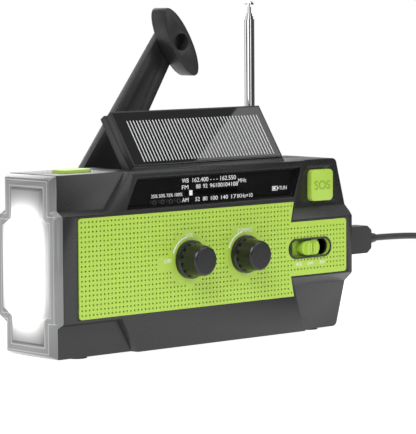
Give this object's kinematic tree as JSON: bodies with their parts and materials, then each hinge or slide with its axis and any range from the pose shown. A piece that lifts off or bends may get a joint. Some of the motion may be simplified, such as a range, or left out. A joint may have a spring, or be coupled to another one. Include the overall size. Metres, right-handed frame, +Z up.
{
  "type": "emergency radio",
  "caption": "Hand-crank emergency radio with tilting solar panel, folding crank, telescopic antenna, dial, knobs, torch end and a charging lead.",
  "frame": {"origin": "centre of the radio's own box at the ground, without its lead", "axes": "+X towards the charging port end, +Y from the dial face to the crank side, +Z up"},
  "size_m": [0.3445, 0.083, 0.1358],
  "materials": {
    "case_black": "finely textured satin",
    "lime": "satin",
    "knob_black": "satin",
    "crank_black": "satin",
    "window_clear": "clear and polished",
    "dial_black": "flat, with printed scales",
    "pointer_white": "satin",
    "led_dark": "small clear lenses",
    "solar_dark": "dark cell with fine silver lines",
    "panel_glass": "clear",
    "torch_clear": "clear",
    "torch_smoke": "frosted, translucent",
    "reflector_chrome": "mirror",
    "led_yellow": "phosphor under clear resin",
    "chrome": "polished",
    "steel": "plain",
    "inner_plastic": "plain nylon",
    "board_green": "solder resist",
    "cell_wrap": "shrink sleeve",
    "ferrite": "sintered",
    "copper": "enamelled wire",
    "paper_cone": "pressed paper",
    "soft_rubber": "matt",
    "lead_black": "smooth sleeve"
  },
  "bodies": {
    "case": {"band_switch": "steel", "battery_cell": "cell_wrap", "battery_leds": "led_dark", "button_switches": "inner_plastic", "case_screws": "steel", "dial_plate": "dial_black", "dial_window": "window_clear", "far_plug": "lead_black", "far_plug_shell": "steel", "ferrite_rod": "ferrite", "front_grille": "lime", "front_shell": "case_black", "gear_plate": "inner_plastic", "generator_can": "steel", "generator_coil": "copper", "lead_coil": "lead_black", "lead_plug": "lead_black", "lead_tube": "lead_black", "led_board": "board_green", "main_board": "board_green", "panel_pins": "steel", "plug_shell": "steel", "rear_shell": "case_black", "reflector": "reflector_chrome", "rubber_feet": "soft_rubber", "speaker_basket": "steel", "speaker_cone": "paper_cone", "speaker_magnet": "ferrite", "torch_bezel": "torch_smoke", "torch_leds": "led_yellow", "torch_lens": "torch_clear", "tuning_capacitor": "inner_plastic", "usb_socket": "steel", "volume_control": "steel"},
    "volume": {"volume_knob": "knob_black", "volume_shaft": "inner_plastic"},
    "tuning": {"tuning_knob": "knob_black", "tuning_shaft": "inner_plastic"},
    "pointer": {"dial_pointer": "pointer_white"},
    "band": {"band_slider": "lime"},
    "sos": {"sos_button": "lime"},
    "light": {"light_button": "lime"},
    "panel": {"panel_back": "case_black", "panel_frame": "case_black", "solar_cell": "solar_dark", "panel_glass": "panel_glass"},
    "crank": {"crank_hub": "crank_black", "crank_hinge_pin": "steel", "drive_gear": "inner_plastic"},
    "arm": {"crank_arm": "crank_black", "knob_stud": "steel"},
    "grip": {"crank_knob": "crank_black"},
    "idler": {"idler_gear": "inner_plastic"},
    "rotor": {"generator_rotor": "ferrite"},
    "antenna_swivel": {"antenna_base": "chrome", "antenna_pin": "chrome"},
    "antenna_1": {"antenna_tube_1": "chrome"},
    "antenna_2": {"antenna_tube_2": "chrome"},
    "antenna_3": {"antenna_tube_3": "chrome"},
    "antenna_4": {"antenna_tip": "chrome"}
  },
  "joints": [
    {"name": "volume_turn", "type": "hinge", "parent": "case", "child": "volume", "pos_m": [-0.0119, -0.026, 0.035], "axis": [0, 1, 0], "range_deg": [0, 300]},
    {"name": "tuning_turn", "type": "hinge", "parent": "case", "child": "tuning", "pos_m": [0.0176, -0.026, 0.035], "axis": [0, 1, 0], "range_deg": [0, 300]},
    {"name": "pointer_slide", "type": "slide", "parent": "case", "child": "pointer", "axis": [1, 0, 0], "range_m": [0, 0.022]},
    {"name": "band_slide", "type": "slide", "parent": "case", "child": "band", "axis": [1, 0, 0], "range_m": [-0.006, 0.006]},
    {"name": "sos_press", "type": "slide", "parent": "case", "child": "sos", "axis": [0, 1, 0], "range_m": [0, 0.001], "stiffness_N_per_m": 600, "springref_m": -0.002},
    {"name": "light_press", "type": "slide", "parent": "case", "child": "light", "axis": [0, 0, -1], "range_m": [0, 0.0012], "stiffness_N_per_m": 600, "springref_m": -0.002},
    {"name": "panel_tilt", "type": "hinge", "parent": "case", "child": "panel", "pos_m": [0.0056, -0.0129, 0.0693], "axis": [1, 0, 0], "range_deg": [-55.7, 34.3]},
    {"name": "crank_turn", "type": "hinge", "parent": "case", "child": "crank", "pos_m": [-0.031, 0.02, 0.0453], "axis": [0, 1, 0], "continuous": true},
    {"name": "idler_turn", "type": "hinge", "parent": "case", "child": "idler", "pos_m": [-0.013, 0.003, 0.0453], "axis": [0, 1, 0], "continuous": true},
    {"name": "rotor_turn", "type": "hinge", "parent": "case", "child": "rotor", "pos_m": [0.005, 0.003, 0.0453], "axis": [0, 1, 0], "continuous": true},
    {"name": "crank_fold", "type": "hinge", "parent": "crank", "child": "arm", "pos_m": [-0.031, 0.02855, 0.0453], "axis": [-0.8221, 0, 0.5693], "range_deg": [0, 180]},
    {"name": "knob_spin", "type": "hinge", "parent": "arm", "child": "grip", "pos_m": [0.02023, 0.022, 0.11929], "axis": [0, 1, 0], "continuous": true},
    {"name": "antenna_turn", "type": "hinge", "parent": "case", "child": "antenna_swivel", "pos_m": [0.0543, 0.01405, 0.056], "axis": [0, 0, 1], "range_deg": [-180, 0]},
    {"name": "antenna_tilt", "type": "hinge", "parent": "antenna_swivel", "child": "antenna_1", "pos_m": [0.0543, 0.01405, 0.062], "axis": [0, 1, 0], "range_deg": [-90, 0]},
    {"name": "antenna_slide_1", "type": "slide", "parent": "antenna_1", "child": "antenna_2", "axis": [0, 0, 1], "range_m": [0, 0.05]},
    {"name": "antenna_slide_2", "type": "slide", "parent": "antenna_2", "child": "antenna_3", "axis": [0, 0, 1], "range_m": [0, 0.05]},
    {"name": "antenna_slide_3", "type": "slide", "parent": "antenna_3", "child": "antenna_4", "axis": [0, 0, 1], "range_m": [0, 0.05]}
  ],
  "couplings": [
    {"joint": "pointer_slide", "follows": "tuning_turn", "m_per_rad": 0.0042},
    {"joint": "idler_turn", "follows": "crank_turn", "ratio": -4},
    {"joint": "rotor_turn", "follows": "crank_turn", "ratio": 16}
  ]
}
